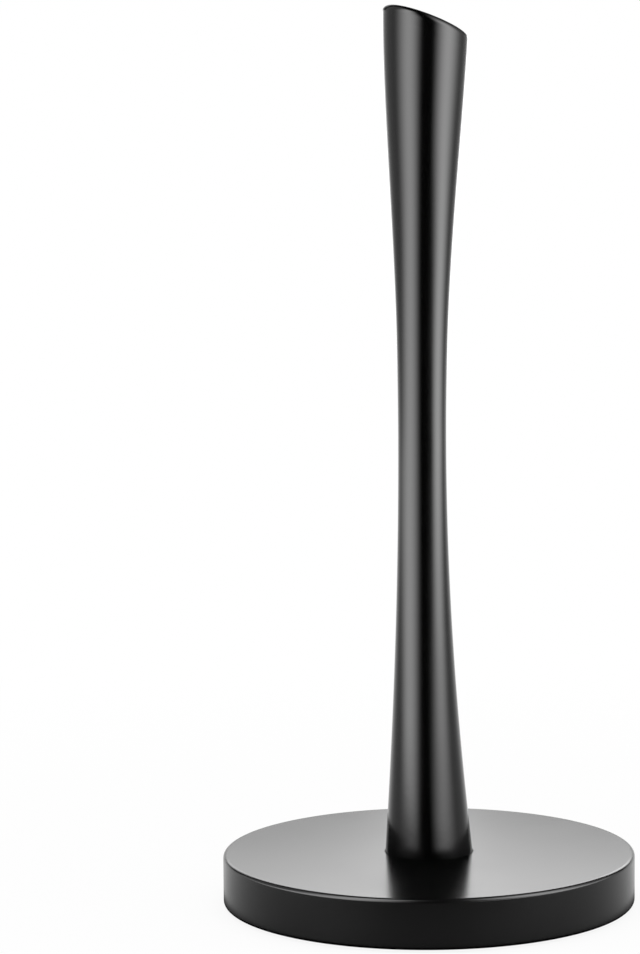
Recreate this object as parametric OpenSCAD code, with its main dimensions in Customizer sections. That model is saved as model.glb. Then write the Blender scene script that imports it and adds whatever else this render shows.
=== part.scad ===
// Countertop paper towel holder: a waisted, slightly bowed steel post with an obliquely cut,
// rounded head, bolted upright on a round weighted base.
// +Z is up, the origin is on the tabletop under the middle of the base, and the tall side of
// the post's head faces -X.

/* [Base] */
// Outside diameter of the base
base_d = 175; // [150:1:200]
// Height of the base's top face above the table
base_h = 22; // [18:0.5:26]
// Rounding of the base's top edge
base_edge_r = 1.6; // [1.4:0.1:3]
// Sheet thickness of the base cover
cover_wall = 1; // [0.8:0.1:1.2]
// Outside radius of the bend at the cover's bottom rim
rim_edge_r = 1.4; // [1.4:0.1:2.4]
// Width of the lip that is turned in under the cover's rim
rim_lip = 6; // [4:0.5:9]
// Height of the cover's rim above the table
rim_gap = 1; // [0.6:0.1:1.6]

/* [Inside the base] */
// Thickness of the closing plate over the lip
plate_t = 1; // [0.8:0.1:1.6]
// Thickness of the cast weight's disc
weight_t = 6; // [4:0.5:8]
// Gap between the cast weight's rim and the cover's wall
weight_gap = 2.5; // [1:0.5:10]
// Diameter of the cast weight's hub at the top
hub_d = 36; // [32:1:40]
// Flare of the hub's side down to the disc, as moulding draft
hub_draft = 2; // [0.5:0.5:4]
// Diameter of the hole in the pad, through which the bolt is reached
pad_hole_d = 32; // [28:1:40]
// Bevel round the edges of the pad and the casting
edge_bevel = 0.5; // [0.3:0.1:0.8]

/* [Post] */
// Height of the post's tip above the base's top face
post_h = 357; // [300:1:400]
// Outside diameter of the post at its foot
foot_d = 37; // [34:0.2:40]
// Outside diameter of the post at its waist
waist_d = 20.2; // [18:0.2:26]
// Outside diameter that the post's flare tends to at the tip
head_d = 37; // [34:0.2:42]
// Height of the waist above the base's top face
waist_z = 178; // [140:1:200]
// How early the flare to the foot turns upright, 1 for not at all
foot_ease = 1.05; // [1:0.05:1.6]
// How early the flare to the head turns upright, 1 for not at all
head_ease = 1.7; // [1:0.05:2]
// How far the post's axis bows towards the tall side
axis_bow = 2.4; // [0:0.1:5]
// Height above the base's top face at which the axis bows most
axis_bow_z = 172; // [150:1:220]
// Wall thickness of the post
post_wall = 1.2; // [0.8:0.1:1.6]

/* [Head cap] */
// Slope of the obliquely cut head
cut_angle = 22.5; // [0:0.5:30]
// Rounding of the head's edge
cap_edge_r = 2.4; // [2:0.1:4]
// Distance of the cap's welded seam below the cut, measured upright
cap_seam = 7; // [6.5:0.5:12]

/* [Fixing] */
// Depth of the seat in the base's top that the foot stands in
seat_depth = 0.8; // [0.4:0.1:1.2]
// Thread diameter of the bolt
bolt_d = 8; // [6:1:8]
// Width across flats of the bolt's head and the nut
hex_flats = 13; // [11:0.5:14]
// Height of the bolt's head
bolt_head_h = 5.3; // [4:0.1:6]
// Height of the bolt's head above the table
bolt_head_z = 2; // [0.5:0.5:3]
// Length of thread that stands out past the nut
bolt_tip = 1.6; // [1:0.2:6]
// Diameter of the flat washer
washer_d = 24; // [20:1:26]
// Thickness of the flat washer
washer_t = 1.6; // [1:0.1:2]
// Outside diameter of the spring washer
spring_washer_d = 14.8; // [13.5:0.1:16]
// Thickness of the spring washer
spring_washer_t = 2; // [1.5:0.1:2.2]
// Height of the weld nut
nut_h = 6.5; // [5:0.5:8]
// Thickness of the disc that closes the post's foot
foot_disc_t = 3; // [2:0.5:5]

/* [Clearances] */
// Between the post's foot and the wall of its seat
foot_clear = 0.3; // [0.2:0.1:0.6]
// Between the foot's disc and the post's inner wall
disc_clear = 0.2; // [0.15:0.05:0.4]
// Between the bolt and the holes that it passes through
bolt_clear = 0.5; // [0.3:0.1:0.8]
// Between the bolt and the nut's thread
thread_clear = 0.05; // [0.02:0.01:0.1]
// Between the closing plate's edge and the cover's wall
plate_clear = 0.8; // [0.6:0.1:1.2]
// Between the pad's edge and the cover's lip
pad_clear = 0.4; // [0.2:0.1:1]
// Between the flat washer and the hub's counterbore
washer_clear = 1; // [0.5:0.1:1.5]

/* [Hidden] */

$fn = 128;
satin_black = [0.075, 0.075, 0.08];
zinc = [0.72, 0.73, 0.74];
iron = [0.23, 0.23, 0.24];
bare_steel = [0.5, 0.5, 0.52];
foam_black = [0.04, 0.04, 0.045];

sides = 56;          // facets round the post
tube_rings = 40;     // bands up the outside of the post
bore_rings = 16;     // bands up its inside
fillet_rings = 6;    // bands round the head's edge
arc_steps = 8;       // straight pieces in a quarter bend of a turned profile
solve_steps = 4;     // passes that place a point of the post on a sloping plane
slope_step = 0.5;    // height over which a slope is measured
overshoot = 1;       // how far a cutting tool reaches past what it cuts

base_r = base_d / 2;
foot_r = foot_d / 2;
waist_r = waist_d / 2;
head_r = head_d / 2;
lip_inner_r = base_r - rim_lip;
lip_top = rim_gap + cover_wall;
plate_top = lip_top + plate_t;
seat_z = base_h - seat_depth;
seat_r = foot_r + foot_clear;
hub_top = seat_z - cover_wall;
disc_top = plate_top + weight_t;
bolt_hole_r = bolt_d / 2 + bolt_clear;
counterbore_r = washer_d / 2 + washer_clear;
spring_washer_z = bolt_head_z + bolt_head_h;
washer_z = spring_washer_z + spring_washer_t;
counterbore_z = washer_z + washer_t;
nut_z = seat_z + foot_disc_t;
bolt_end = nut_z + nut_h + bolt_tip;
cut_slope = tan(cut_angle);
cut_normal = [sin(cut_angle), 0, cos(cut_angle)];
tip_rise = cut_slope * (head_r - cap_edge_r) + cap_edge_r * (1 - 1 / cos(cut_angle));
cut_z = post_h - tip_rise;
seam_z = cut_z - cap_seam;

// ---- Turned profiles ----

// Points of an arc about [x, z] from one angle to another
function arc(x, z, r, from, to) =
    [for (i = [0 : arc_steps])
        let (a = from + (to - from) * i / arc_steps)
        [x + r * cos(a), z + r * sin(a)]];

// The sheet's outline at a depth inside its outer skin, from the bolt hole out to the lip
function cover_path(depth) =
    concat(
        [[bolt_hole_r, seat_z - depth],
         [seat_r + depth, seat_z - depth],
         [seat_r + depth, base_h - depth]],
        arc(base_r - base_edge_r, base_h - base_edge_r, base_edge_r - depth, 90, 0),
        arc(base_r - rim_edge_r, rim_gap + rim_edge_r, rim_edge_r - depth, 0, -90),
        [[lip_inner_r, rim_gap + depth]]);

function reversed(list) = [for (i = [len(list) - 1 : -1 : 0]) list[i]];

// ---- The post's shape; heights here are above the base's top face ----

// Share of a flare reached at the share u of its height, flat at the waist
function flare(u, ease) = 1 - pow(1 - u * u, ease);

function post_r(z) =
    z < waist_z
    ? waist_r + (foot_r - waist_r) * flare(min(1, (waist_z - z) / waist_z), foot_ease)
    : waist_r + (head_r - waist_r) * flare(min(1, (z - waist_z) / (post_h - waist_z)), head_ease);

// The axis is a shallow parabola through the foot's centre
function axis_x(z) = -axis_bow * (1 - pow(max(0, z) / axis_bow_z - 1, 2));

function skin(z, phi, inset) =
    let (r = post_r(z) - inset)
    [axis_x(z) + r * cos(phi), r * sin(phi), z];

function unit(v) = v / norm(v);

function skin_normal(z, phi) =
    let (
        flare_slope = (post_r(z + slope_step) - post_r(z - slope_step)) / (2 * slope_step),
        axis_slope = (axis_x(z + slope_step) - axis_x(z - slope_step)) / (2 * slope_step)
    )
    unit([cos(phi), sin(phi), -(flare_slope + axis_slope * cos(phi))]);

// Height at which the skin meets a plane that crosses the axis at height h
function plane_z(h, slope, phi, inset, z, step = 0) =
    step == solve_steps
    ? z
    : plane_z(h, slope, phi, inset, h - slope * (skin(z, phi, inset).x - axis_x(h)), step + 1);

function ring(h, slope, inset) =
    [for (i = [0 : sides - 1])
        let (phi = 360 * i / sides)
        skin(plane_z(h, slope, phi, inset, h), phi, inset)];

// Rings start level at the foot and lean over to the cut's slope towards the seam
function tube_ring(share, inset) =
    let (lean = pow(share, 4))
    ring(-seat_depth + (seam_z + seat_depth) * share, cut_slope * lean, inset);

// Height at which a ball, rolled inside the skin and under the cut, touches the skin
function contact_z(phi, z, step = 0) =
    let (
        centre = skin(z, phi, 0) - cap_edge_r * skin_normal(z, phi),
        miss = (centre - [axis_x(cut_z), 0, cut_z]) * cut_normal + cap_edge_r
    )
    step == solve_steps ? z : contact_z(phi, z - miss / cut_normal.z, step + 1);

// One ring of the head's rounded edge: share 0 is on the skin and share 1 on the cut
function edge_ring(share, inset) =
    [for (i = [0 : sides - 1])
        let (
            phi = 360 * i / sides,
            z = contact_z(phi, cut_z),
            out = skin_normal(z, phi),
            turn = acos(out * cut_normal),
            aim = (sin((1 - share) * turn) * out + sin(share * turn) * cut_normal) / sin(turn)
        )
        skin(z, phi, 0) - cap_edge_r * out + (cap_edge_r - inset) * aim];

// ---- Skins over rings ----

function band(a, b) =
    [for (j = [0 : sides - 1])
        let (k = (j + 1) % sides)
        each [[a * sides + j, b * sides + j, b * sides + k],
              [a * sides + j, b * sides + k, a * sides + k]]];

function joined(rings) = [for (r = rings) each r];

// ---- Sub-parts ----

// Formed steel tube, open at both ends, its top end cut along the cap's seam
module post_tube() {
    rings = concat(
        [for (i = [0 : tube_rings]) tube_ring(i / tube_rings, 0)],
        [for (i = [bore_rings : -1 : 0]) tube_ring(i / bore_rings, post_wall)]);
    count = len(rings);
    color(satin_black)
        translate([0, 0, base_h])
            polyhedron(
                points = joined(rings),
                faces = [for (i = [0 : count - 1]) each band(i, (i + 1) % count)],
                convexity = 6);
}

// Pressed cap that closes the oblique head: short skirt, rolled edge and flat top
module post_cap() {
    outer = concat(
        [ring(seam_z, cut_slope, 0)],
        [for (i = [0 : fillet_rings]) edge_ring(i / fillet_rings, 0)]);
    inner = concat(
        [for (i = [fillet_rings : -2 : 0]) edge_ring(i / fillet_rings, post_wall)],
        [ring(seam_z, cut_slope, post_wall)]);
    rings = concat(outer, inner);
    middle = [axis_x(cut_z), 0, cut_z];
    top = len(rings) * sides;
    under = top + 1;
    faces = concat(
        [for (i = [0 : len(rings) - 1]) if (i != len(outer) - 1) each band(i, (i + 1) % len(rings))],
        [for (j = [0 : sides - 1])
            let (k = (j + 1) % sides, a = (len(outer) - 1) * sides, b = len(outer) * sides)
            each [[a + j, top, a + k], [under, b + j, b + k]]]);
    color(satin_black)
        translate([0, 0, base_h])
            polyhedron(
                points = concat(joined(rings), [middle, middle - post_wall * cut_normal]),
                faces = faces,
                convexity = 6);
}

// Steel disc welded into the post's foot; it follows the bore's taper
module foot_disc() {
    bottom_r = foot_r - post_wall - disc_clear;
    top_r = post_r(foot_disc_t - seat_depth) - post_wall - disc_clear;
    color(bare_steel)
        translate([0, 0, seat_z])
            difference() {
                cylinder(h = foot_disc_t, r1 = bottom_r, r2 = top_r);
                translate([0, 0, -overshoot])
                    cylinder(h = foot_disc_t + 2 * overshoot, r = bolt_hole_r);
            }
}

// A hexagon prism with its corners turned off at one end or both
module hexagon(height, both_ends) {
    corner_r = hex_flats / 2 / cos(30);
    turned_r = hex_flats / 2 - 0.2;
    slope = tan(30);
    intersection() {
        cylinder(h = height, r = corner_r, $fn = 6);
        union() {
            translate([0, 0, height / 2])
                cylinder(h = height / 2, r1 = turned_r + height / 2 / slope, r2 = turned_r);
            if (both_ends)
                cylinder(h = height / 2, r1 = turned_r, r2 = turned_r + height / 2 / slope);
            else
                cylinder(h = height / 2, r = corner_r);
        }
    }
}

// Hexagon nut welded on the foot's disc
module weld_nut() {
    color(zinc)
        translate([0, 0, nut_z])
            difference() {
                hexagon(nut_h, true);
                translate([0, 0, -overshoot])
                    cylinder(h = nut_h + 2 * overshoot, r = bolt_d / 2 + thread_clear);
            }
}

// Drawn steel cover: seat for the foot, flat top, rounded edge, wall and turned-in lip
module base_cover() {
    color(satin_black)
        rotate_extrude()
            polygon(concat(cover_path(0), reversed(cover_path(cover_wall))));
}

// Cast iron disc with a tapered hub that carries the clamped joint
module base_weight() {
    rim_r = base_r - cover_wall - weight_gap;
    hub_r = hub_d / 2;
    color(iron)
        rotate_extrude()
            polygon([
                [counterbore_r, plate_top],
                [rim_r - edge_bevel, plate_top],
                [rim_r, plate_top + edge_bevel],
                [rim_r, disc_top - edge_bevel],
                [rim_r - edge_bevel, disc_top],
                [hub_r + hub_draft, disc_top],
                [hub_r, hub_top],
                [bolt_hole_r, hub_top],
                [bolt_hole_r, counterbore_z],
                [counterbore_r, counterbore_z]]);
}

// Steel plate that the lip traps under the weight
module base_plate() {
    color(zinc)
        translate([0, 0, lip_top])
            difference() {
                cylinder(h = plate_t, r = base_r - cover_wall - plate_clear);
                translate([0, 0, -overshoot])
                    cylinder(h = plate_t + 2 * overshoot, r = counterbore_r);
            }
}

// Hexagon bolt, put in from below
module centre_bolt() {
    shank_r = bolt_d / 2;
    color(zinc)
        union() {
            translate([0, 0, spring_washer_z])
                mirror([0, 0, 1])
                    hexagon(bolt_head_h, false);
            rotate_extrude()
                polygon([
                    [0, spring_washer_z - overshoot],
                    [shank_r, spring_washer_z - overshoot],
                    [shank_r, bolt_end - edge_bevel],
                    [shank_r - edge_bevel, bolt_end],
                    [0, bolt_end]]);
        }
}

// A washer is a flat ring round the bolt
module washer(z, outer_r, thickness) {
    translate([0, 0, z])
        difference() {
            cylinder(h = thickness, r = outer_r);
            translate([0, 0, -overshoot])
                cylinder(h = thickness + 2 * overshoot, r = bolt_d / 2 + bolt_clear);
        }
}

module flat_washer() {
    color(zinc) washer(washer_z, washer_d / 2, washer_t);
}

// Split ring, pressed flat
module spring_washer() {
    split = 1;
    split_lean = 20;
    color(zinc)
        difference() {
            washer(spring_washer_z, spring_washer_d / 2, spring_washer_t);
            translate([spring_washer_d / 2, 0, spring_washer_z + spring_washer_t / 2])
                rotate([split_lean, 0, 0])
                    cube([spring_washer_d, split, 4 * spring_washer_t], center = true);
        }
}

// Foam pad glued on the closing plate inside the lip, with a way to the bolt
module foot_pad() {
    pad_r = lip_inner_r - pad_clear;
    hole_r = pad_hole_d / 2;
    color(foam_black)
        rotate_extrude()
            polygon([
                [hole_r, 0],
                [pad_r - edge_bevel, 0],
                [pad_r, edge_bevel],
                [pad_r, lip_top],
                [hole_r, lip_top]]);
}

post_tube();
post_cap();
foot_disc();
weld_nut();
base_cover();
base_weight();
base_plate();
centre_bolt();
flat_washer();
spring_washer();
foot_pad();
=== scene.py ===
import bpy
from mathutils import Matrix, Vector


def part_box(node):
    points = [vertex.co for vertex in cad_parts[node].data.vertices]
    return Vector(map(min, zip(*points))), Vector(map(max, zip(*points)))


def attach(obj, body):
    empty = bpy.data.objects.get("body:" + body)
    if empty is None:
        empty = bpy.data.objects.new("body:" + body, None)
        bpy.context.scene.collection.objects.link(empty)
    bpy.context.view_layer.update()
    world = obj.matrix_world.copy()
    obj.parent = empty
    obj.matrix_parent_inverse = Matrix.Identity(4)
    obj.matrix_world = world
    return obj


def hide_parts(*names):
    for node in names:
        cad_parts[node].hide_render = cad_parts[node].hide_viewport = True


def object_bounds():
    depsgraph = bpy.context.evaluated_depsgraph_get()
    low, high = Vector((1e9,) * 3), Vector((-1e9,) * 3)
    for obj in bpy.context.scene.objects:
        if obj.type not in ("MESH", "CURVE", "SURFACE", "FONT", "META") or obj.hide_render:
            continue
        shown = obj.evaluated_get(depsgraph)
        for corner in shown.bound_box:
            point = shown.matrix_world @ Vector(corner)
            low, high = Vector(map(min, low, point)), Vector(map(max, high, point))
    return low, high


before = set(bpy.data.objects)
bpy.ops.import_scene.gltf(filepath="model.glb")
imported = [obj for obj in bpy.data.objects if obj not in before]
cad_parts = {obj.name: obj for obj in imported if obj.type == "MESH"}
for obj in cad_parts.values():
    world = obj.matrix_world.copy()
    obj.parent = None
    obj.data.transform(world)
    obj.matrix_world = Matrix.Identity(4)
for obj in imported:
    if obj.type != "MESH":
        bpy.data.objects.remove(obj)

import ast
import math

import bpy
from bpy.props import FloatProperty, FloatVectorProperty, PointerProperty
from mathutils import Vector

bl_info = {
    "name": "Paper towel holder",
    "version": (1, 0, 0),
    "blender": (4, 5, 0),
    "location": "View3D > Sidebar > Towel Holder",
    "description": "Builds a waisted steel paper towel post on its weighted base, and a studio",
    "category": "Object",
}

# ---- Where the parts are, in metres ----

CAD_LOW, CAD_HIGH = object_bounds()
COVER_LOW, COVER_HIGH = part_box("base_cover")
PAD_LOW, PAD_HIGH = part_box("foot_pad")
WASHER_LOW, WASHER_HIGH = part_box("flat_washer")
SPRING_LOW, SPRING_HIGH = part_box("spring_washer")
SEAT_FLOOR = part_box("post_tube")[0].z
BASE_TOP = COVER_HIGH.z

# ---- How finely the parts are made ----

POST_STEPS_ROUND = 96
TUBE_STEPS_UP = 150
CAP_STEPS_UP = 30
COVER_STEPS_ROUND = 256
PAD_STEPS_ROUND = 192
WASHER_STEPS_ROUND = 96
CONTACT_STEPS = 6
BEND_STEPS = 12
SMALL_BEND_STEPS = 6
FILLET_STEPS = 4
BEND_HOLD = 0.0002
SEAT_HOLD = 0.0001
MERGE_DISTANCE = 1e-6
SHARP_ANGLE = math.radians(35)


# ---- Sizes and colours that a user would change ----


def hex_to_linear(code):
    """Turn an sRGB colour such as '#1a2b3c' into the linear values that Blender works in."""
    shares = [int(code[i : i + 2], 16) / 255 for i in (1, 3, 5)]
    return tuple(s / 12.92 if s <= 0.04045 else ((s + 0.055) / 1.055) ** 2.4 for s in shares)


def number(name, description, default, **options):
    return FloatProperty(name=name, description=description, default=default, **options)


def length(name, description, default):
    return number(name, description, default, unit="LENGTH")


def angle(name, description, degrees):
    return number(name, description, math.radians(degrees), subtype="ANGLE")


def colour(name, description, default):
    return FloatVectorProperty(
        name=name, description=description, default=hex_to_linear(default), subtype="COLOR", min=0, max=1
    )


class HolderPost(bpy.types.PropertyGroup):
    """Sizes of the post; heights are above the base's top face"""

    tip_height: length("Tip height", "Height of the post's tip", CAD_HIGH.z - BASE_TOP)
    seat_depth: length("Seat depth", "How far the foot stands in the base", BASE_TOP - SEAT_FLOOR)
    foot_radius: length("Foot radius", "Outside radius at the foot", 0.0185)
    waist_radius: length("Waist radius", "Outside radius at the waist", 0.0101)
    head_radius: length("Head radius", "Outside radius that the flare tends to at the tip", 0.0185)
    waist_height: length("Waist height", "Height of the waist", 0.178)
    foot_ease: number("Foot ease", "How early the flare to the foot turns upright", 1.05)
    head_ease: number("Head ease", "How early the flare to the head turns upright", 1.7)
    axis_bow: length("Axis bow", "How far the axis bows towards the tall side", 0.0024)
    bow_height: length("Bow height", "Height at which the axis bows most", 0.172)
    cut_angle: angle("Cut angle", "Slope of the head's cut", 22.5)
    edge_radius: length("Edge radius", "Rounding of the head's edge", 0.0024)
    cap_height: length("Cap height", "Distance of the cap's seam below the cut", 0.007)
    wall: length("Wall", "Wall thickness", 0.0012)


class HolderBase(bpy.types.PropertyGroup):
    """Sizes of the base's cover and pad"""

    edge_radius: length("Top edge radius", "Rounding of the cover's top edge", 0.0016)
    rim_radius: length("Rim radius", "Rounding of the cover's bottom rim", 0.0014)
    sheet: length("Sheet thickness", "Thickness of the cover's steel", 0.001)
    lip: length("Lip width", "Width of the lip turned in under the rim", 0.006)
    seat_radius: length("Seat radius", "Radius of the seat that the foot stands in", 0.0188)
    seat_edge: length("Seat edge radius", "Rounding of the seat's edge", 0.0003)
    bolt_hole_radius: length("Bolt hole radius", "Radius of the hole for the bolt", 0.0045)
    pad_hole_radius: length("Pad hole radius", "Radius of the hole in the pad", 0.016)
    pad_corner: length("Pad corner radius", "Rounding of the pad's edges", 0.0004)


class HolderFixing(bpy.types.PropertyGroup):
    """Sizes of the washers under the bolt's head"""

    hole_radius: length("Hole radius", "Radius of the washers' holes", 0.0045)
    corner: length("Corner radius", "Rounding that the washers' stamping leaves", 0.0003)
    split: length("Split", "Opening between the spring washer's two ends", 0.001)
    lean: angle("Lean", "Lean of the split", 20)


class HolderFinish(bpy.types.PropertyGroup):
    """Colours and gloss of the finishes"""

    coat: colour("Satin black coat", "Powder coat on the post and the base", "#060606")
    post_roughness: number("Post roughness", "Roughness of the coat on the post", 0.15)
    cover_roughness: number("Cover roughness", "Roughness of the coat on the base", 0.2)
    foam: colour("Foam", "Closed-cell foam of the pad", "#17171a")
    zinc: colour("Zinc plating", "Bright zinc on the fixing and the closing plate", "#c3c6ca")
    steel: colour("Bare steel", "Mild steel inside the post's foot", "#8d8f92")
    iron: colour("Cast iron", "Unmachined grey iron of the weight", "#4a4a4c")


class HolderStudio(bpy.types.PropertyGroup):
    """Camera, floor and lights"""

    floor: colour("Floor", "Colour of the floor", "#f4f4f4")
    lens: number("Lens", "Focal length in millimetres", 126.43)
    left_strength: number("Left strength", "Brightness of the left soft box", 5.6)
    right_strength: number("Right strength", "Brightness of the right soft box", 6.2)
    overhead_power: number("Overhead power", "Power of the lamp above the object", 12, unit="POWER")


# ---- Node trees ----

FLOAT = "NodeSocketFloat"
WHOLE_NUMBER = "NodeSocketInt"
GEOMETRY = "NodeSocketGeometry"
MATERIAL = "NodeSocketMaterial"

OPERATIONS = {
    ast.Add: "ADD",
    ast.Sub: "SUBTRACT",
    ast.Mult: "MULTIPLY",
    ast.Div: "DIVIDE",
    ast.Pow: "POWER",
}
FUNCTIONS = {
    "sin": "SINE",
    "cos": "COSINE",
    "tan": "TANGENT",
    "acos": "ARCCOSINE",
    "sqrt": "SQRT",
    "min": "MINIMUM",
    "max": "MAXIMUM",
    "abs": "ABSOLUTE",
    "modulo": "FLOORED_MODULO",
    "smooth": "SMOOTHSTEP",
}


def add(tree, kind, inputs=(), **settings):
    """Add a node, set its properties, then fill its inputs with values or links."""
    node = tree.nodes.new(kind)
    for name, value in settings.items():
        setattr(node, name, value)
    for socket, value in dict(inputs).items():
        if isinstance(value, bpy.types.NodeSocket):
            tree.links.new(value, node.inputs[socket])
        else:
            node.inputs[socket].default_value = value
    return node


def formula(tree, text, names):
    """Add the nodes of a written formula, and return its result. The names stand for sockets or
    numbers, and smooth(value, start, end) is a soft step from 0 at start to 1 at end. A minus
    sign in front is for plain numbers only."""

    def result(part):
        if isinstance(part, ast.Constant):
            return part.value
        if isinstance(part, ast.UnaryOp):
            return -part.operand.value
        if isinstance(part, ast.Name):
            return names[part.id]
        if isinstance(part, ast.BinOp):
            operation = OPERATIONS[type(part.op)]
            terms = [part.left, part.right]
        else:
            operation = FUNCTIONS[part.func.id]
            terms = part.args
        values = [result(term) for term in terms]
        if operation == "SMOOTHSTEP":
            step = dict(zip(("Value", "From Min", "From Max"), values))
            return add(tree, "ShaderNodeMapRange", step, interpolation_type=operation).outputs[0]
        return add(tree, "ShaderNodeMath", enumerate(values), operation=operation).outputs[0]

    return result(ast.parse(text).body[0].value)


def work_out(tree, names, steps):
    """Add written formulas in turn; each can use the results of those before it."""
    for title, text in steps.items():
        names[title] = formula(tree, text, names)


def key(title):
    """A socket's name as formulas write it."""
    return title.lower().replace(" ", "_")


def by_name(sockets):
    return {key(s.name): s for s in sockets if s.name}


def new_tree(name, inputs, outputs):
    """Start a Geometry Nodes tree with named sockets, each given as {name: kind}."""
    tree = bpy.data.node_groups.new(name, "GeometryNodeTree")
    for direction, sockets in (("INPUT", inputs), ("OUTPUT", outputs)):
        for title, kind in sockets.items():
            tree.interface.new_socket(title, in_out=direction, socket_type=kind)
    given = tree.nodes.new("NodeGroupInput").outputs
    results = tree.nodes.new("NodeGroupOutput").inputs
    return tree, given, results


def unit_grid(tree, steps_round, rows):
    """A grid one metre each way about the origin, to be wrapped round an axis."""
    columns = add(tree, "ShaderNodeMath", {0: steps_round, 1: 1}, operation="ADD")
    counts = {"Vertices X": columns.outputs[0], "Vertices Y": rows}
    return add(tree, "GeometryNodeMeshGrid", {"Size X": 1, "Size Y": 1} | counts).outputs["Mesh"]


def finish_tree(tree, geometry, point, given, results):
    """Move the points to their place, merge the doubled ones, and set the material."""
    position = add(tree, "ShaderNodeCombineXYZ", point).outputs[0]
    shaped = add(tree, "GeometryNodeSetPosition", {"Geometry": geometry, "Position": position})
    merge = {"Geometry": shaped.outputs[0], "Distance": MERGE_DISTANCE}
    closed = add(tree, "GeometryNodeMergeByDistance", merge)
    real = add(tree, "GeometryNodeRealizeInstances", {"Geometry": closed.outputs[0]})
    coat = {"Geometry": real.outputs[0], "Material": given["Material"]}
    coated = add(tree, "GeometryNodeSetMaterial", coat)
    tree.links.new(coated.outputs[0], results["Geometry"])


def grow(name, tree, values, material, source=None, wall=0.0):
    """Run a tree on an object, freeze what it makes as one plain mesh, and return that piece."""
    mesh = source or bpy.data.meshes.new(name)
    piece = bpy.data.objects.new(name, mesh)
    bpy.context.scene.collection.objects.link(piece)
    modifier = piece.modifiers.new("Shape", "NODES")
    modifier.node_group = tree
    given = values | {"Material": material}
    for item in tree.interface.items_tree:
        if item.in_out == "INPUT" and item.name in given:
            modifier[item.identifier] = given[item.name]
    if wall:
        shell = piece.modifiers.new("Wall", "SOLIDIFY")
        shell.thickness = wall
        shell.offset = -1
        shell.use_even_offset = True
    made = piece.evaluated_get(bpy.context.evaluated_depsgraph_get())
    frozen = bpy.data.meshes.new_from_object(made)
    piece.modifiers.clear()
    piece.data = frozen
    frozen.name = name
    frozen.set_sharp_from_angle(angle=SHARP_ANGLE)
    for face in frozen.polygons:
        face.use_smooth = True
    return piece


def dress(piece, slot, *nodes):
    """Let a finished piece stand for its CAD nodes."""
    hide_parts(*nodes)
    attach(piece, "root")


# ---- The post's rule ----

SKIN = ["Centre", "X", "Y", "Normal X", "Normal Y", "Normal Z"]


def post_skin_tree(sizes):
    """A point of the post's outside, and the direction it faces, at a height and an angle."""
    tree, given, results = new_tree(
        "Post skin",
        {"Height": FLOAT, "Angle": FLOAT} | dict.fromkeys(sizes, FLOAT),
        dict.fromkeys(SKIN, FLOAT),
    )
    n = by_name(given)
    steps = {
        "low": "min(1, max(0, (waist_height - height) / waist_height))",
        "head_run": "tip_height - waist_height",
        "high": "min(1, max(0, (height - waist_height) / head_run))",
        "foot_rise": "foot_radius - waist_radius",
        "head_rise": "head_radius - waist_radius",
        "low_rest": "1 - low * low",
        "high_rest": "1 - high * high",
        "foot_flare": "foot_rise * (1 - low_rest ** foot_ease)",
        "head_flare": "head_rise * (1 - high_rest ** head_ease)",
        "radius": "waist_radius + foot_flare + head_flare",
        "along": "max(0, height) / bow_height - 1",
        "centre": "axis_bow * (along * along - 1)",
        "foot_slope": "2 * foot_rise * foot_ease * low * low_rest ** (foot_ease - 1) / waist_height",
        "head_slope": "2 * head_rise * head_ease * high * high_rest ** (head_ease - 1) / head_run",
        "bow_slope": "2 * axis_bow * along / bow_height * cos(angle)",
        "slope": "head_slope - foot_slope + bow_slope",
        "size": "sqrt(1 + slope * slope)",
        "x": "centre + radius * cos(angle)",
        "y": "radius * sin(angle)",
        "normal_x": "cos(angle) / size",
        "normal_y": "sin(angle) / size",
        "normal_z": "0 - slope / size",
    }
    work_out(tree, n, steps)
    for title in SKIN:
        tree.links.new(n[key(title)], results[title])
    return tree


def plane_contact_tree(sizes, skin):
    """Height at which a ball, rolled inside the skin and under a sloping plane, touches the skin."""
    tree, given, results = new_tree(
        "Plane contact",
        {"Angle": FLOAT, "Plane height": FLOAT, "Ball radius": FLOAT} | dict.fromkeys(sizes, FLOAT),
        {"Height": FLOAT},
    )
    n = by_name(given)
    fed = {title: given[title] for title in ("Angle", *sizes)}
    middle = add(tree, "GeometryNodeGroup", fed | {"Height": given["Plane height"]}, node_tree=skin)
    start = tree.nodes.new("GeometryNodeRepeatInput")
    end = tree.nodes.new("GeometryNodeRepeatOutput")
    start.pair_with_output(end)
    end.repeat_items.clear()
    end.repeat_items.new("FLOAT", "Height")
    start.inputs["Iterations"].default_value = CONTACT_STEPS
    tree.links.new(given["Plane height"], start.inputs["Height"])
    height = start.outputs["Height"]
    touch = add(tree, "GeometryNodeGroup", fed | {"Height": height}, node_tree=skin)
    n |= by_name(touch.outputs) | {"height": height, "middle": middle.outputs["Centre"]}
    steps = {
        "aside": "x - ball_radius * normal_x - middle",
        "above": "height - ball_radius * normal_z - plane_height",
        "miss": "aside * sin(cut_angle) + above * cos(cut_angle) + ball_radius",
        "nearer": "height - miss / cos(cut_angle)",
    }
    work_out(tree, n, steps)
    tree.links.new(n["nearer"], end.inputs["Height"])
    tree.links.new(end.outputs["Height"], results["Height"])
    return tree


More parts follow.
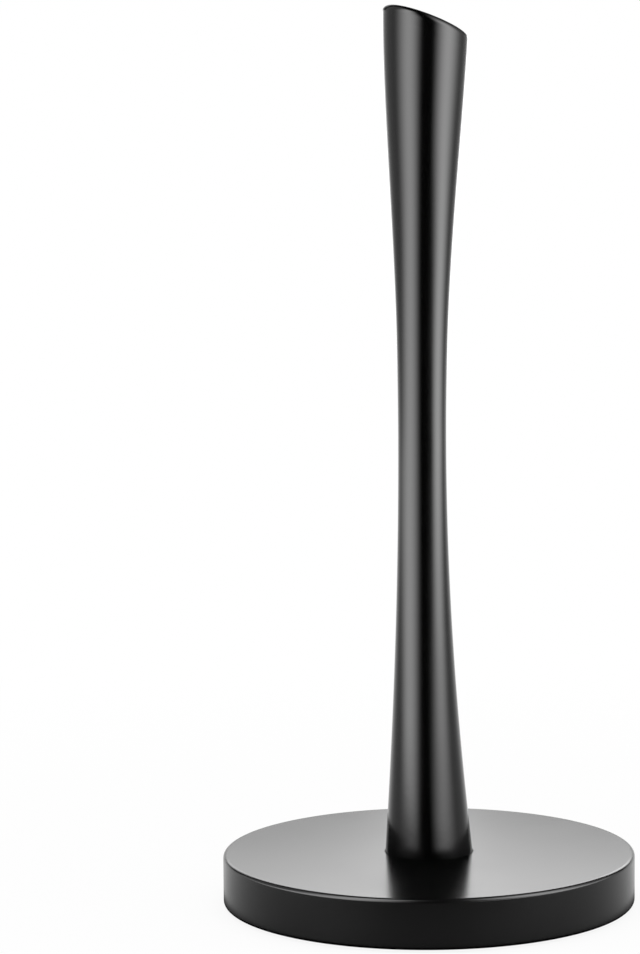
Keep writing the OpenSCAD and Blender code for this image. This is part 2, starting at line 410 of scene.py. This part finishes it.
def post_tree(sizes, skin, contact):
    """The post's outside between two shares of its outline: the tube is 0 to 1, the cap's skirt
    1 to 2, its rolled edge 2 to 3, and its flat top 3 to 4."""
    tree, given, results = new_tree(
        "Post",
        {"Start": FLOAT, "End": FLOAT, "Base top": FLOAT}
        | dict.fromkeys(sizes, FLOAT)
        | {"Steps round": WHOLE_NUMBER, "Steps up": WHOLE_NUMBER, "Material": MATERIAL},
        {"Geometry": GEOMETRY},
    )
    n = by_name(given)
    fed = {title: given[title] for title in sizes}
    rows = add(tree, "ShaderNodeMath", {0: given["Steps up"], 1: 1}, operation="ADD").outputs[0]
    grid = unit_grid(tree, given["Steps round"], rows)
    place = add(tree, "GeometryNodeInputPosition")
    n |= by_name(add(tree, "ShaderNodeSeparateXYZ", {0: place.outputs[0]}).outputs)
    n["full_turn"] = math.tau
    steps = {
        "turn": "(x + 0.5) * full_turn",
        "share": "start + (end - start) * (y + 0.5)",
        "tube": "min(1, max(0, share))",
        "skirt": "min(1, max(0, share - 1))",
        "edge": "min(1, max(0, share - 2))",
        "top": "min(1, max(0, share - 3))",
        "corner_gap": "edge_radius * (1 - 1 / cos(cut_angle))",
        "cut": "tip_height - (tan(cut_angle) * (head_radius - edge_radius) + corner_gap)",
        "seam_plane": "cut - cap_height",
    }
    work_out(tree, n, steps)
    turned = fed | {"Angle": n["turn"]}
    seam = turned | {"Plane height": n["seam_plane"], "Ball radius": 0}
    n["seam"] = add(tree, "GeometryNodeGroup", seam, node_tree=contact).outputs[0]
    touch = turned | {"Plane height": n["cut"], "Ball radius": given["Edge radius"]}
    n["touch"] = add(tree, "GeometryNodeGroup", touch, node_tree=contact).outputs[0]
    n["height"] = formula(
        tree, "tube * (seam + seat_depth) - seat_depth + skirt * (touch - seam)", n
    )
    here = add(tree, "GeometryNodeGroup", turned | {"Height": n["height"]}, node_tree=skin)
    middle = add(tree, "GeometryNodeGroup", turned | {"Height": n["cut"]}, node_tree=skin)
    n |= by_name(here.outputs) | {"middle": middle.outputs["Centre"]}
    steps = {
        "between": "acos(normal_x * sin(cut_angle) + normal_z * cos(cut_angle))",
        "keep": "sin((1 - edge) * between) / sin(between) - 1",
        "lean": "sin(edge * between) / sin(between)",
        "rim_x": "x + edge_radius * (keep * normal_x + lean * sin(cut_angle))",
        "rim_y": "y + edge_radius * keep * normal_y",
        "rim_z": "height + edge_radius * (keep * normal_z + lean * cos(cut_angle))",
        "point_x": "rim_x + top * top * (middle - rim_x)",
        "point_y": "rim_y * (1 - top * top)",
        "point_z": "base_top + rim_z + top * top * (cut - rim_z)",
    }
    work_out(tree, n, steps)
    point = {"X": n["point_x"], "Y": n["point_y"], "Z": n["point_z"]}
    finish_tree(tree, grid, point, given, results)
    return tree


# ---- Turned parts ----


def turned_part_tree():
    """Turns the section drawn in a piece's own XZ plane round the Z axis."""
    tree, given, results = new_tree(
        "Turned part",
        {"Geometry": GEOMETRY, "Steps round": WHOLE_NUMBER, "Material": MATERIAL},
        {"Geometry": GEOMETRY},
    )
    section = given["Geometry"]
    count = add(tree, "GeometryNodeAttributeDomainSize", {"Geometry": section}).outputs["Point Count"]
    grid = unit_grid(tree, given["Steps round"], count)
    n = {"index": add(tree, "GeometryNodeInputIndex").outputs[0], "count": count}
    place = add(tree, "GeometryNodeInputPosition").outputs[0]
    drawn = add(
        tree,
        "GeometryNodeSampleIndex",
        {"Geometry": section, "Value": place, "Index": formula(tree, "modulo(index, count)", n)},
        data_type="FLOAT_VECTOR",
        domain="POINT",
    )
    n |= by_name(add(tree, "ShaderNodeSeparateXYZ", {0: drawn.outputs[0]}).outputs)
    n["across"] = add(tree, "ShaderNodeSeparateXYZ", {0: place}).outputs["X"]
    n["full_turn"] = math.tau
    n["turn"] = formula(tree, "(across + 0.5) * full_turn", n)
    point = {"X": formula(tree, "x * cos(turn)", n), "Y": formula(tree, "x * sin(turn)", n), "Z": n["z"]}
    finish_tree(tree, grid, point, given, results)
    return tree


def bend(x, z, radius, start, end, steps=BEND_STEPS, hold=BEND_HOLD):
    """Points round a bend, with one just before and one just after it that keep the flats flat."""
    start, end = math.radians(start), math.radians(end)
    turn = math.copysign(hold, end - start)
    angles = [start + (end - start) * i / steps for i in range(steps + 1)]
    points = [(x + radius * math.cos(a), z + radius * math.sin(a)) for a in angles]
    first = (points[0][0] + turn * math.sin(start), points[0][1] - turn * math.cos(start))
    last = (points[-1][0] - turn * math.sin(end), points[-1][1] + turn * math.cos(end))
    return [first, *points, last]


def rounded_ring(inner, outer, low, high, radius):
    """Closed section of a ring with four rounded corners."""
    hold = radius / 4
    left, right, bottom, top = inner + radius, outer - radius, low + radius, high - radius
    corners = [(right, bottom, -90), (right, top, 0), (left, top, 90), (left, bottom, 180)]
    section = []
    for x, z, start in corners:
        section += bend(x, z, radius, start, start + 90, SMALL_BEND_STEPS, hold)
    return section


def turn_section(name, points, tree, material, steps):
    """Turn a closed section, listed as (radius, height), into a piece."""
    section = bpy.data.meshes.new(name + "_section")
    loop = [*points, points[0]]
    edges = [(i, i + 1) for i in range(len(loop) - 1)]
    section.from_pydata([(x, 0, z) for x, z in loop], edges, [])
    return grow(name, tree, {"Steps round": steps}, material, source=section)


def split_ring_tree():
    """A ring with rounded corners that is cut through aslant at one place."""
    tree, given, results = new_tree(
        "Split ring",
        dict.fromkeys(("Inner", "Outer", "Low", "High", "Corner", "Split", "Lean"), FLOAT)
        | {"Steps round": WHOLE_NUMBER, "Material": MATERIAL},
        {"Geometry": GEOMETRY},
    )
    n = by_name(given)
    n["full_turn"] = math.tau
    steps = {
        "radius": "(inner + outer) / 2",
        "opening": "split / radius",
        "start": "opening / 2",
        "sweep": "full_turn - opening",
        "width": "outer - inner",
        "thickness": "high - low",
    }
    work_out(tree, n, steps)
    arc = {"Radius": n["radius"], "Start Angle": n["start"], "Sweep Angle": n["sweep"]}
    path = add(tree, "GeometryNodeCurveArc", arc | {"Resolution": given["Steps round"]})
    section = add(
        tree,
        "GeometryNodeCurvePrimitiveQuadrilateral",
        {"Width": n["width"], "Height": n["thickness"]},
    )
    rounded = add(
        tree,
        "GeometryNodeFilletCurve",
        {"Curve": section.outputs[0], "Radius": given["Corner"], "Count": FILLET_STEPS},
        mode="POLY",
    )
    ring = add(
        tree,
        "GeometryNodeCurveToMesh",
        {"Curve": path.outputs[0], "Profile Curve": rounded.outputs[0], "Fill Caps": True},
    )
    place = add(tree, "GeometryNodeInputPosition").outputs[0]
    n |= by_name(add(tree, "ShaderNodeSeparateXYZ", {0: place}).outputs)
    n["turn"] = formula(tree, "z * tan(lean) / radius", n)
    point = {
        "X": formula(tree, "x * cos(turn) + y * sin(turn)", n),
        "Y": formula(tree, "y * cos(turn) - x * sin(turn)", n),
        "Z": formula(tree, "z + (low + high) / 2", n),
    }
    finish_tree(tree, ring.outputs[0], point, given, results)
    return tree


# ---- Finishes ----


def millimetres(size):
    """Scale of a pattern whose features are this many millimetres across."""
    return 1000 / size


def new_material(name):
    """Start a material with an empty tree."""
    material = bpy.data.materials.new(name)
    material.use_nodes = True
    tree = material.node_tree
    tree.nodes.clear()
    return material, tree


def new_finish(name):
    """Start a finish, whose patterns are laid out in metres on the part itself."""
    material, tree = new_material(name)
    place = add(tree, "ShaderNodeTexCoord").outputs["Object"]
    shader = add(tree, "ShaderNodeBsdfPrincipled")
    add(tree, "ShaderNodeOutputMaterial", {"Surface": shader.outputs[0]})
    return material, tree, place, shader


def satin_black_powder_coat(base_colour, roughness):
    """Powder coat, sprayed on and baked: a dense black film with a soft gloss and a faint
    orange peel from the powder's melting grains."""
    material, tree, place, shader = new_finish("satin_black_powder_coat")
    peel = add(
        tree, "ShaderNodeTexNoise", {"Vector": place, "Scale": millimetres(2.2), "Detail": 2.0}
    )
    cloud = add(
        tree, "ShaderNodeTexNoise", {"Vector": place, "Scale": millimetres(30), "Detail": 3.0}
    )
    spread = 0.015
    levels = {"To Min": roughness - spread, "To Max": roughness + spread}
    gloss = add(
        tree,
        "ShaderNodeMapRange",
        {"Value": cloud.outputs[0], "From Min": 0.3, "From Max": 0.7} | levels,
    )
    bump = add(
        tree,
        "ShaderNodeBump",
        {"Height": peel.outputs[0], "Strength": 0.25, "Distance": 0.00002},
    )
    shader.inputs["Base Color"].default_value = (*base_colour, 1)
    shader.inputs["IOR"].default_value = 1.5
    tree.links.new(gloss.outputs[0], shader.inputs["Roughness"])
    tree.links.new(bump.outputs[0], shader.inputs["Normal"])
    return material


def closed_cell_foam(base_colour):
    """EVA foam, skived from a block: matt, with fine open cells all over."""
    material, tree, place, shader = new_finish("closed_cell_foam")
    cells = add(tree, "ShaderNodeTexVoronoi", {"Vector": place, "Scale": millimetres(0.7)})
    depth = cells.outputs["Distance"]
    lighter = [c * 1.8 for c in base_colour]
    shades = {"A": (*base_colour, 1), "B": (*lighter, 1)}
    shade = add(tree, "ShaderNodeMix", {"Factor": depth} | shades, data_type="RGBA")
    pits = {"Height": depth, "Strength": 0.6, "Distance": 0.0001}
    bump = add(tree, "ShaderNodeBump", pits, invert=True)
    tree.links.new(shade.outputs["Result"], shader.inputs["Base Color"])
    tree.links.new(bump.outputs[0], shader.inputs["Normal"])
    shader.inputs["Roughness"].default_value = 0.9
    return material


def metal(name, base_colour, roughness, grain, depth):
    """A metal whose grain is this many millimetres across and this many metres deep."""
    material, tree, place, shader = new_finish(name)
    pattern = {"Vector": place, "Scale": millimetres(grain), "Detail": 4.0}
    noise = add(tree, "ShaderNodeTexNoise", pattern).outputs[0]
    darker = [c * 0.8 for c in base_colour]
    shades = {"A": (*darker, 1), "B": (*base_colour, 1)}
    shade = add(tree, "ShaderNodeMix", {"Factor": noise} | shades, data_type="RGBA")
    levels = {"To Min": roughness * 0.8, "To Max": roughness * 1.2}
    gloss = add(tree, "ShaderNodeMapRange", {"Value": noise} | levels)
    bump = add(tree, "ShaderNodeBump", {"Height": noise, "Strength": 0.5, "Distance": depth})
    shader.inputs["Metallic"].default_value = 1
    tree.links.new(shade.outputs["Result"], shader.inputs["Base Color"])
    tree.links.new(gloss.outputs[0], shader.inputs["Roughness"])
    tree.links.new(bump.outputs[0], shader.inputs["Normal"])
    return material


def zinc_plated_steel(base_colour):
    """Pressed and turned steel, barrel-plated in bright zinc: pale, faintly cloudy, half bright."""
    return metal("zinc_plated_steel", base_colour, roughness=0.32, grain=0.8, depth=0.00002)


def cold_rolled_steel(base_colour):
    """Bare sheet, cold-rolled and cut: grey, with a fine even grain."""
    return metal("cold_rolled_steel", base_colour, roughness=0.4, grain=0.5, depth=0.00002)


def sand_cast_iron(base_colour):
    """Grey iron, left as it came from its sand mould: dark and coarse."""
    return metal("sand_cast_iron", base_colour, roughness=0.62, grain=1.2, depth=0.0002)


def finish_cad_nodes(material, *nodes):
    """Give the CAD nodes that stay as they are their finish."""
    for node in nodes:
        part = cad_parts[node]
        part.data.materials.clear()
        part.data.materials.append(material)


# ---- Operators ----


class HOLDER_OT_post(bpy.types.Operator):
    """Build the waisted post: its tube, and the cap that closes its oblique head"""

    bl_idname = "towel_holder.post"
    bl_label = "Post"

    def execute(self, context):
        post = context.scene.holder_post
        finish = context.scene.holder_finish
        coat = satin_black_powder_coat(finish.coat, finish.post_roughness)
        numbers = [p for p in post.bl_rna.properties if p.type == "FLOAT"]
        sizes = {p.name: getattr(post, p.identifier) for p in numbers}
        wall = sizes.pop("Wall")
        skin = post_skin_tree(sizes)
        tree = post_tree(sizes, skin, plane_contact_tree(sizes, skin))
        values = sizes | {"Base top": BASE_TOP, "Steps round": POST_STEPS_ROUND}
        parts = (("post_tube", 0.0, 1.0, TUBE_STEPS_UP), ("post_cap", 1.0, 4.0, CAP_STEPS_UP))
        for name, start, end, steps in parts:
            part = {"Start": start, "End": end, "Steps up": steps}
            piece = grow(name + "_coated", tree, values | part, coat, wall=wall)
            dress(piece, "satin_coated_steel", name)
        return {"FINISHED"}


class HOLDER_OT_base(bpy.types.Operator):
    """Build the base: its drawn steel cover and the foam pad below it"""

    bl_idname = "towel_holder.base"
    bl_label = "Base"

    def execute(self, context):
        base = context.scene.holder_base
        finish = context.scene.holder_finish
        tree = turned_part_tree()
        edge, rim, sheet = base.edge_radius, base.rim_radius, base.sheet
        seat, seat_edge = base.seat_radius, base.seat_edge
        radius, low, high = COVER_HIGH.x, COVER_LOW.z, COVER_HIGH.z
        few = SMALL_BEND_STEPS
        outer = [
            (base.bolt_hole_radius, SEAT_FLOOR),
            (seat, SEAT_FLOOR),
            *bend(seat + seat_edge, high - seat_edge, seat_edge, 180, 90, few, SEAT_HOLD),
            *bend(radius - edge, high - edge, edge, 90, 0),
            *bend(radius - rim, low + rim, rim, 0, -90),
            (radius - base.lip, low),
        ]
        inner = [
            (radius - base.lip, low + sheet),
            *bend(radius - rim, low + rim, rim - sheet, -90, 0, few),
            *bend(radius - edge, high - edge, edge - sheet, 0, 90, few),
            (seat + sheet, high - sheet),
            (seat + sheet, SEAT_FLOOR - sheet),
            (base.bolt_hole_radius, SEAT_FLOOR - sheet),
        ]
        coat = satin_black_powder_coat(finish.coat, finish.cover_roughness)
        cover = turn_section("base_cover_coated", outer + inner, tree, coat, COVER_STEPS_ROUND)
        dress(cover, "satin_coated_steel", "base_cover")
        corner = base.pad_corner
        ring = rounded_ring(base.pad_hole_radius, PAD_HIGH.x, PAD_LOW.z, PAD_HIGH.z, corner)
        foam = closed_cell_foam(finish.foam)
        pad = turn_section("foot_pad_foam", ring, tree, foam, PAD_STEPS_ROUND)
        dress(pad, "eva_foam", "foot_pad")
        return {"FINISHED"}


class HOLDER_OT_fixing(bpy.types.Operator):
    """Finish the weight, the closing plate and the bolted fixing inside the base"""

    bl_idname = "towel_holder.fixing"
    bl_label = "Fixing"

    def execute(self, context):
        finish = context.scene.holder_finish
        fixing = context.scene.holder_fixing
        zinc = zinc_plated_steel(finish.zinc)
        finish_cad_nodes(zinc, "weld_nut", "base_plate", "centre_bolt")
        finish_cad_nodes(cold_rolled_steel(finish.steel), "foot_disc")
        finish_cad_nodes(sand_cast_iron(finish.iron), "base_weight")
        hole, corner = fixing.hole_radius, fixing.corner
        ring = rounded_ring(hole, WASHER_HIGH.x, WASHER_LOW.z, WASHER_HIGH.z, corner)
        tree = turned_part_tree()
        flat = turn_section("flat_washer_rounded", ring, tree, zinc, WASHER_STEPS_ROUND)
        dress(flat, "zinc_plated_steel", "flat_washer")
        sizes = {
            "Inner": hole,
            "Outer": SPRING_HIGH.y,
            "Low": SPRING_LOW.z,
            "High": SPRING_HIGH.z,
            "Corner": corner,
            "Split": fixing.split,
            "Lean": fixing.lean,
            "Steps round": WASHER_STEPS_ROUND,
        }
        spring = grow("spring_washer_rounded", split_ring_tree(), sizes, zinc)
        dress(spring, "zinc_plated_steel", "spring_washer")
        return {"FINISHED"}


# ---- Studio ----

# The camera stands at an angle from the front, negative to the left. How far it looks down and
# how far it rolls are in degrees.
CAMERA_SIDE = math.radians(-26)
CAMERA_DISTANCE = 1.4
CAMERA_HEIGHT = 0.342
CAMERA_DOWN = 6.513
CAMERA_ROLL = 0.236
CAMERA_SHIFT = -0.111

# The table runs from under the foam pad's edge to far out, a hair below the pad. Mirrors show it
# with a painted shadow: black at the base's edge, going to grey over this reach.
TABLE_RADII = (0.079, 0.8)
TABLE_STEPS = 96
TABLE_DROP = 0.00005
PAINTED_SHADOW_REACH = 0.012

# A soft box stands at one distance from the middle. Above its bend it leans over the object,
# inwards and downwards by these shares of the height above the bend.
CARD_ROWS = 120
CARD_COLUMNS = 24
CARD_DISTANCE = 0.65
CARD_LOW = -0.032
CARD_HIGH = 1.3
CARD_BEND = 0.8
LEAN_INWARDS = 0.9
LEAN_DOWNWARDS = 0.6

# A soft box's sides go from where they are at its crest to where they are at its foot and its
# head over these heights. Its light fades in from its lowest edge.
FOOT_REACH = 0.13
FOOT_CURVE = 1.3
FOOT_FADE = 0.02
HEAD_REACH = 0.09

BACKDROP_DISTANCE = 0.6
BACKDROP_HEIGHT = 0.6
BACKDROP_WIDTH = 1.2

LAMP_HEIGHT = 1.6
LAMP_SIZE = 1.2


def toward(azimuth, distance, height):
    """A place at an angle from the camera's side, positive to the camera's right."""
    turn = azimuth + CAMERA_SIDE
    return Vector((math.sin(turn) * distance, -math.cos(turn) * distance, height))


def add_stage(name, vertices, faces, material):
    """Add a mesh that belongs to the studio alone."""
    mesh = bpy.data.meshes.new(name)
    mesh.from_pydata(vertices, [], faces)
    mesh.materials.append(material)
    stage = bpy.data.objects.new(name, mesh)
    bpy.context.scene.collection.objects.link(stage)
    return mesh


def light_card(name, rows, columns, place, material):
    """A card for a studio light, from place(across, up) with both shares running 0 to 1."""
    shares = [(i / columns, j / rows) for j in range(rows + 1) for i in range(columns + 1)]
    firsts = [j * (columns + 1) + i for j in range(rows) for i in range(columns)]
    faces = [(f, f + 1, f + columns + 2, f + columns + 1) for f in firsts]
    mesh = add_stage(name, [place(*share) for share in shares], faces, material)
    layer = mesh.uv_layers.new(name="Across")
    for loop in mesh.loops:
        layer.data[loop.index].uv = shares[loop.vertex_index]


def glow_material(name, numbers, steps):
    """A light that hides nothing behind it. Its power is worked out from the place on its card,
    x across and y up, both from 0 to 1."""
    material, tree = new_material(name)
    material.cycles.emission_sampling = "NONE"
    across = add(tree, "ShaderNodeUVMap", uv_map="Across").outputs[0]
    n = by_name(add(tree, "ShaderNodeSeparateXYZ", {0: across}).outputs)
    n |= by_name(add(tree, "ShaderNodeLightPath").outputs) | numbers
    work_out(tree, n, steps)
    glow = add(tree, "ShaderNodeEmission", {"Strength": n["power"]})
    clear = add(tree, "ShaderNodeBsdfTransparent")
    both = add(tree, "ShaderNodeAddShader", {0: clear.outputs[0], 1: glow.outputs[0]})
    add(tree, "ShaderNodeOutputMaterial", {"Surface": both.outputs[0]})
    return material


def softbox_cloth(name, foot_level, top, strength):
    """The white diffuser of a soft box, lit from behind. Only the finish mirrors it, and only at
    its first bounce. It glows most two fifths of the way across and less to both sides; it is
    at foot_level near the table, and fades out above top."""
    numbers = {
        "card_low": CARD_LOW,
        "card_high": CARD_HIGH,
        "shift": 0.8,
        "softness": 3,
        "foot_end": CARD_LOW + FOOT_FADE,
        "foot_level": foot_level,
        "full_height": 0.1,
        "top": top,
        "strength": strength,
    }
    steps = {
        "height": "card_low + (card_high - card_low) * y",
        "side": "x ** shift * 2 - 1",
        "fall": "max(0, 1 - side * side)",
        "foot": "smooth(height, card_low, foot_end)",
        "head": "smooth(height, card_high, top)",
        "level": "foot_level + (1 - foot_level) * min(1, max(0, height / full_height))",
        "once": "max(0, is_glossy_ray * (2 - glossy_depth))",
        "power": "fall ** softness * foot * head * level * once * strength",
    }
    return glow_material(name, numbers, steps)


def softbox(name, inner, outer, crest, foot_level, top, strength):
    """A soft light bent round the object and over it. Its inner and outer sides are given at its
    foot, its crest and its head, in degrees from the camera's side."""

    def side(angles, height):
        foot, middle, head = angles
        below = min(1, max(0, (crest - height) / FOOT_REACH)) ** FOOT_CURVE
        above = min(1, max(0, (height - crest) / HEAD_REACH))
        return middle + (foot - middle) * below + (head - middle) * above

    def place(across, up):
        height = CARD_LOW + (CARD_HIGH - CARD_LOW) * up
        start, end = side(inner, height), side(outer, height)
        azimuth = math.radians(start + (end - start) * across)
        over = max(0, height - CARD_BEND)
        distance = CARD_DISTANCE - LEAN_INWARDS * over
        return toward(azimuth, distance, height - LEAN_DOWNWARDS * over)

    cloth = softbox_cloth(name, foot_level, top, strength)
    light_card(name, CARD_ROWS, CARD_COLUMNS, place, cloth)


def backdrop_place(across, up):
    """A place on the cloth that hangs behind the object and faces the camera; across runs from
    the camera's right to its left."""
    middle = toward(math.pi, BACKDROP_DISTANCE, BACKDROP_HEIGHT * up)
    return middle - toward(math.pi / 2, BACKDROP_WIDTH * across - BACKDROP_WIDTH / 2, 0)


def backdrop_material():
    """The white cloth behind the object, lit from below its top: it adds to the plain level
    that the finish mirrors, most towards the middle and the top."""
    numbers = {
        "cloth_height": BACKDROP_HEIGHT,
        "cloth_width": BACKDROP_WIDTH,
        "half_width": BACKDROP_WIDTH / 2,
        "lit_height": 0.2,
        "lit_level": 1.55,
        "steepness": 24,
        "middle_fall": 0.06,
        "side_fall": 220,
        "rise": 6,
        "right_height": 0.14,
        "right_gain": 16,
    }
    steps = {
        "height": "y * cloth_height",
        "aside": "x * cloth_width - half_width",
        "below": "max(0, lit_height - height)",
        "above": "max(0, height - lit_height)",
        "fall": "(below * steepness) ** 4 * (middle_fall + side_fall * aside * aside)",
        "edge": "smooth(abs(aside), 0.55, 0.3)",
        "right": "max(0, 0 - aside) * max(0, height - right_height)",
        "glow": "max(0, lit_level - fall + above * rise) * (1 + right_gain * right) * edge",
        "head": "smooth(height, 0.5, 0.35)",
        "power": "glow * head * is_glossy_ray",
    }
    return glow_material("backdrop_glow", numbers, steps)


def studio_names(tree, place):
    """Names for formulas about a direction or a place: the light path's, the place's own x, y
    and z, its size in plan, how far it is on the camera's side, from 1 to -1 behind the object,
    and how far it is aside, positive to the camera's right."""
    n = by_name(add(tree, "ShaderNodeSeparateXYZ", {0: place}).outputs)
    n |= by_name(add(tree, "ShaderNodeLightPath").outputs)
    n |= {"sine": math.sin(CAMERA_SIDE), "cosine": math.cos(CAMERA_SIDE)}
    steps = {
        "size": "max(0.0001, sqrt(x * x + y * y))",
        "facing": "(x * sine - y * cosine) / size",
        "aside": "(x * cosine + y * sine) / size",
    }
    work_out(tree, n, steps)
    return n


def pale_table_material(floor):
    """A matt white table top, sprayed and sanded. The camera sees it melt into the background
    but for the object's shadow. Mirrors show a painted reflection of it: dim grey, painted
    darker on the camera's side, with a painted shadow to black beside the base. It is clear
    from below, so that the underside can be seen."""
    material, tree = new_material("pale_table")
    n = studio_names(tree, add(tree, "ShaderNodeTexCoord").outputs["Object"])
    n |= {"base_edge": COVER_HIGH.x, "contact_end": COVER_HIGH.x + PAINTED_SHADOW_REACH}
    n |= {"front_grey": 0.2, "rear_gain": 0.4, "right_gain": 0.06, "near_melt": 0.9, "far_gain": 0.1}
    steps = {
        "far": "smooth(size, 0.2, 0.6)",
        "near": "smooth(size, 0.26, 0.14)",
        # contact is a painted shadow: the mirrored table is painted to black beside the base's edge.
        "contact": "smooth(size, base_edge, contact_end)",
        # grey is a painted reflection: a dim grey for mirrors only, painted darker on the camera's side
        # and to black beside the base.
        "grey": "contact * (front_grey + rear_gain * (1 - facing) + right_gain * max(0, aside))",
        "melt": "is_camera_ray * (near_melt + far_gain * far)",
    }
    work_out(tree, n, steps)
    matt = add(tree, "ShaderNodeBsdfDiffuse", {"Color": (*floor, 1)}).outputs[0]
    white = add(tree, "ShaderNodeEmission", {"Strength": 1.0}).outputs[0]
    # The painted reflection: an emission that only mirrors see, in place of the table's lit colour.
    dim = add(tree, "ShaderNodeEmission", {"Strength": n["grey"]}).outputs[0]
    clear = add(tree, "ShaderNodeBsdfTransparent").outputs[0]
    below = add(tree, "ShaderNodeNewGeometry").outputs["Backfacing"]
    mirrored = add(tree, "ShaderNodeMixShader", {0: n["near"], 1: clear, 2: dim}).outputs[0]
    seen = add(tree, "ShaderNodeMixShader", {0: n["melt"], 1: matt, 2: white}).outputs[0]
    above = {0: n["is_glossy_ray"], 1: seen, 2: mirrored}
    both = add(tree, "ShaderNodeMixShader", above).outputs[0]
    open_below = add(tree, "ShaderNodeMixShader", {0: below, 1: both, 2: clear}).outputs[0]
    add(tree, "ShaderNodeOutputMaterial", {"Surface": open_below})
    return material


class HOLDER_OT_studio(bpy.types.Operator):
    """Set up the camera, the pale table and the soft studio light"""

    bl_idname = "towel_holder.studio"
    bl_label = "Studio"

    def camera(self, scene):
        data = bpy.data.cameras.new("camera")
        data.lens = scene.holder_studio.lens
        data.shift_x = CAMERA_SHIFT
        camera = bpy.data.objects.new("camera", data)
        camera.location = toward(0, CAMERA_DISTANCE, CAMERA_HEIGHT)
        tilt, roll = math.radians(90 - CAMERA_DOWN), math.radians(CAMERA_ROLL)
        camera.rotation_euler = (tilt, roll, CAMERA_SIDE)
        scene.collection.objects.link(camera)
        scene.camera = camera

    def world(self, scene):
        """White where the camera looks, and an even room for the matt surfaces. The finish
        mirrors white walls that are bright near the floor, a backdrop behind the object that
        goes higher in its middle, and a dark room on the camera's side. The walls beside the
        backdrop go high as well, for a ray's first mirroring only."""
        world = bpy.data.worlds.new("studio")
        scene.world = world
        world.use_nodes = True
        world.cycles.sampling_method = "NONE"
        tree = world.node_tree
        tree.nodes.clear()
        n = studio_names(tree, add(tree, "ShaderNodeTexCoord").outputs["Generated"])
        n |= {"side_level": 0.55, "rear_level": 0.4, "back_level": 0.7, "room_level": 0.62}
        steps = {
            "behind": "0 - facing",
            "low": "smooth(z, 0.16, 0.06)",
            "under": "smooth(z, 0.62, 0.45)",
            "high": "smooth(z, 1, 0.85)",
            "sides": "smooth(behind, -0.8, -0.2)",
            "rear": "smooth(behind, 0.4, 0.9)",
            "narrow": "smooth(behind, 0.75, 0.97)",
            "flank": "smooth(behind, 0.75, 0.5)",
            "wide": "side_level * sides + rear_level * rear",
            "back": "back_level * narrow * (1 - low) * under",
            "tall": "flank * high * max(0, 2 - glossy_depth)",
            "mirrored": "wide * max(low, tall) + back",
            "white": "min(1, is_camera_ray + is_transmission_ray)",
            "room": "(1 - min(1, white + is_glossy_ray)) * room_level",
            "power": "white + is_glossy_ray * mirrored + room",
        }
        work_out(tree, n, steps)
        light = {"Color": (1, 1, 1, 1), "Strength": n["power"]}
        background = add(tree, "ShaderNodeBackground", light)
        add(tree, "ShaderNodeOutputWorld", {"Surface": background.outputs[0]})

    def table(self, scene):
        """A round pale table that is open below the foam pad."""
        turns = [math.tau * i / TABLE_STEPS for i in range(TABLE_STEPS)]
        rings = [[toward(turn, radius, -TABLE_DROP) for turn in turns] for radius in TABLE_RADII]
        faces = []
        for first in range(TABLE_STEPS):
            second = (first + 1) % TABLE_STEPS
            faces.append((first, TABLE_STEPS + first, TABLE_STEPS + second, second))
        material = pale_table_material(scene.holder_studio.floor)
        add_stage("table", rings[0] + rings[1], faces, material)

    def lights(self, scene):
        """A wide lamp above, that mirrors don't show, two soft boxes and the lit backdrop."""
        soft = bpy.data.lights.new("overhead_softbox", "AREA")
        soft.shape = "RECTANGLE"
        soft.size = LAMP_SIZE
        soft.size_y = LAMP_SIZE
        soft.energy = scene.holder_studio.overhead_power
        lamp = bpy.data.objects.new("overhead_softbox", soft)
        lamp.location = (0, 0, LAMP_HEIGHT)
        lamp.visible_glossy = False
        scene.collection.objects.link(lamp)
        left = {"inner": (-17, 0, -5), "outer": (-99, -144, -97), "crest": 0.12}
        right = {"inner": (3, 42, 17), "outer": (96, 131, 117), "crest": 0.138}
        left |= {"foot_level": 1.0, "top": 1.1, "strength": scene.holder_studio.left_strength}
        right |= {"foot_level": 0.56, "top": 0.5, "strength": scene.holder_studio.right_strength}
        softbox("left_softbox", **left)
        softbox("right_softbox", **right)
        cloth = backdrop_material()
        light_card("backdrop_glow", rows=2, columns=2, place=backdrop_place, material=cloth)

    def execute(self, context):
        context.scene.view_settings.view_transform = "Standard"
        self.camera(context.scene)
        self.world(context.scene)
        self.table(context.scene)
        self.lights(context.scene)
        return {"FINISHED"}


# ---- Panel and start ----


class HOLDER_PT_panel(bpy.types.Panel):
    bl_idname = "HOLDER_PT_panel"
    bl_label = "Paper towel holder"
    bl_space_type = "VIEW_3D"
    bl_region_type = "UI"
    bl_category = "Towel Holder"

    def draw(self, context):
        for operator in OPERATORS:
            self.layout.operator(operator.bl_idname)
        for group in GROUPS:
            box = self.layout.box()
            box.label(text=group)
            settings = getattr(context.scene, group)
            for prop in settings.bl_rna.properties:
                if prop.identifier not in ("name", "rna_type"):
                    box.prop(settings, prop.identifier)


OPERATORS = (HOLDER_OT_post, HOLDER_OT_base, HOLDER_OT_fixing, HOLDER_OT_studio)
GROUPS = {
    "holder_post": HolderPost,
    "holder_base": HolderBase,
    "holder_fixing": HolderFixing,
    "holder_finish": HolderFinish,
    "holder_studio": HolderStudio,
}


def register():
    for cls in (*GROUPS.values(), *OPERATORS, HOLDER_PT_panel):
        bpy.utils.register_class(cls)
    for name, group in GROUPS.items():
        setattr(bpy.types.Scene, name, PointerProperty(type=group))


def unregister():
    for name in GROUPS:
        delattr(bpy.types.Scene, name)
    for cls in (HOLDER_PT_panel, *OPERATORS, *GROUPS.values()):
        bpy.utils.unregister_class(cls)


def main():
    register()
    bpy.ops.towel_holder.post()
    bpy.ops.towel_holder.base()
    bpy.ops.towel_holder.fixing()
    bpy.ops.towel_holder.studio()


if __name__ == "__main__":
    main()
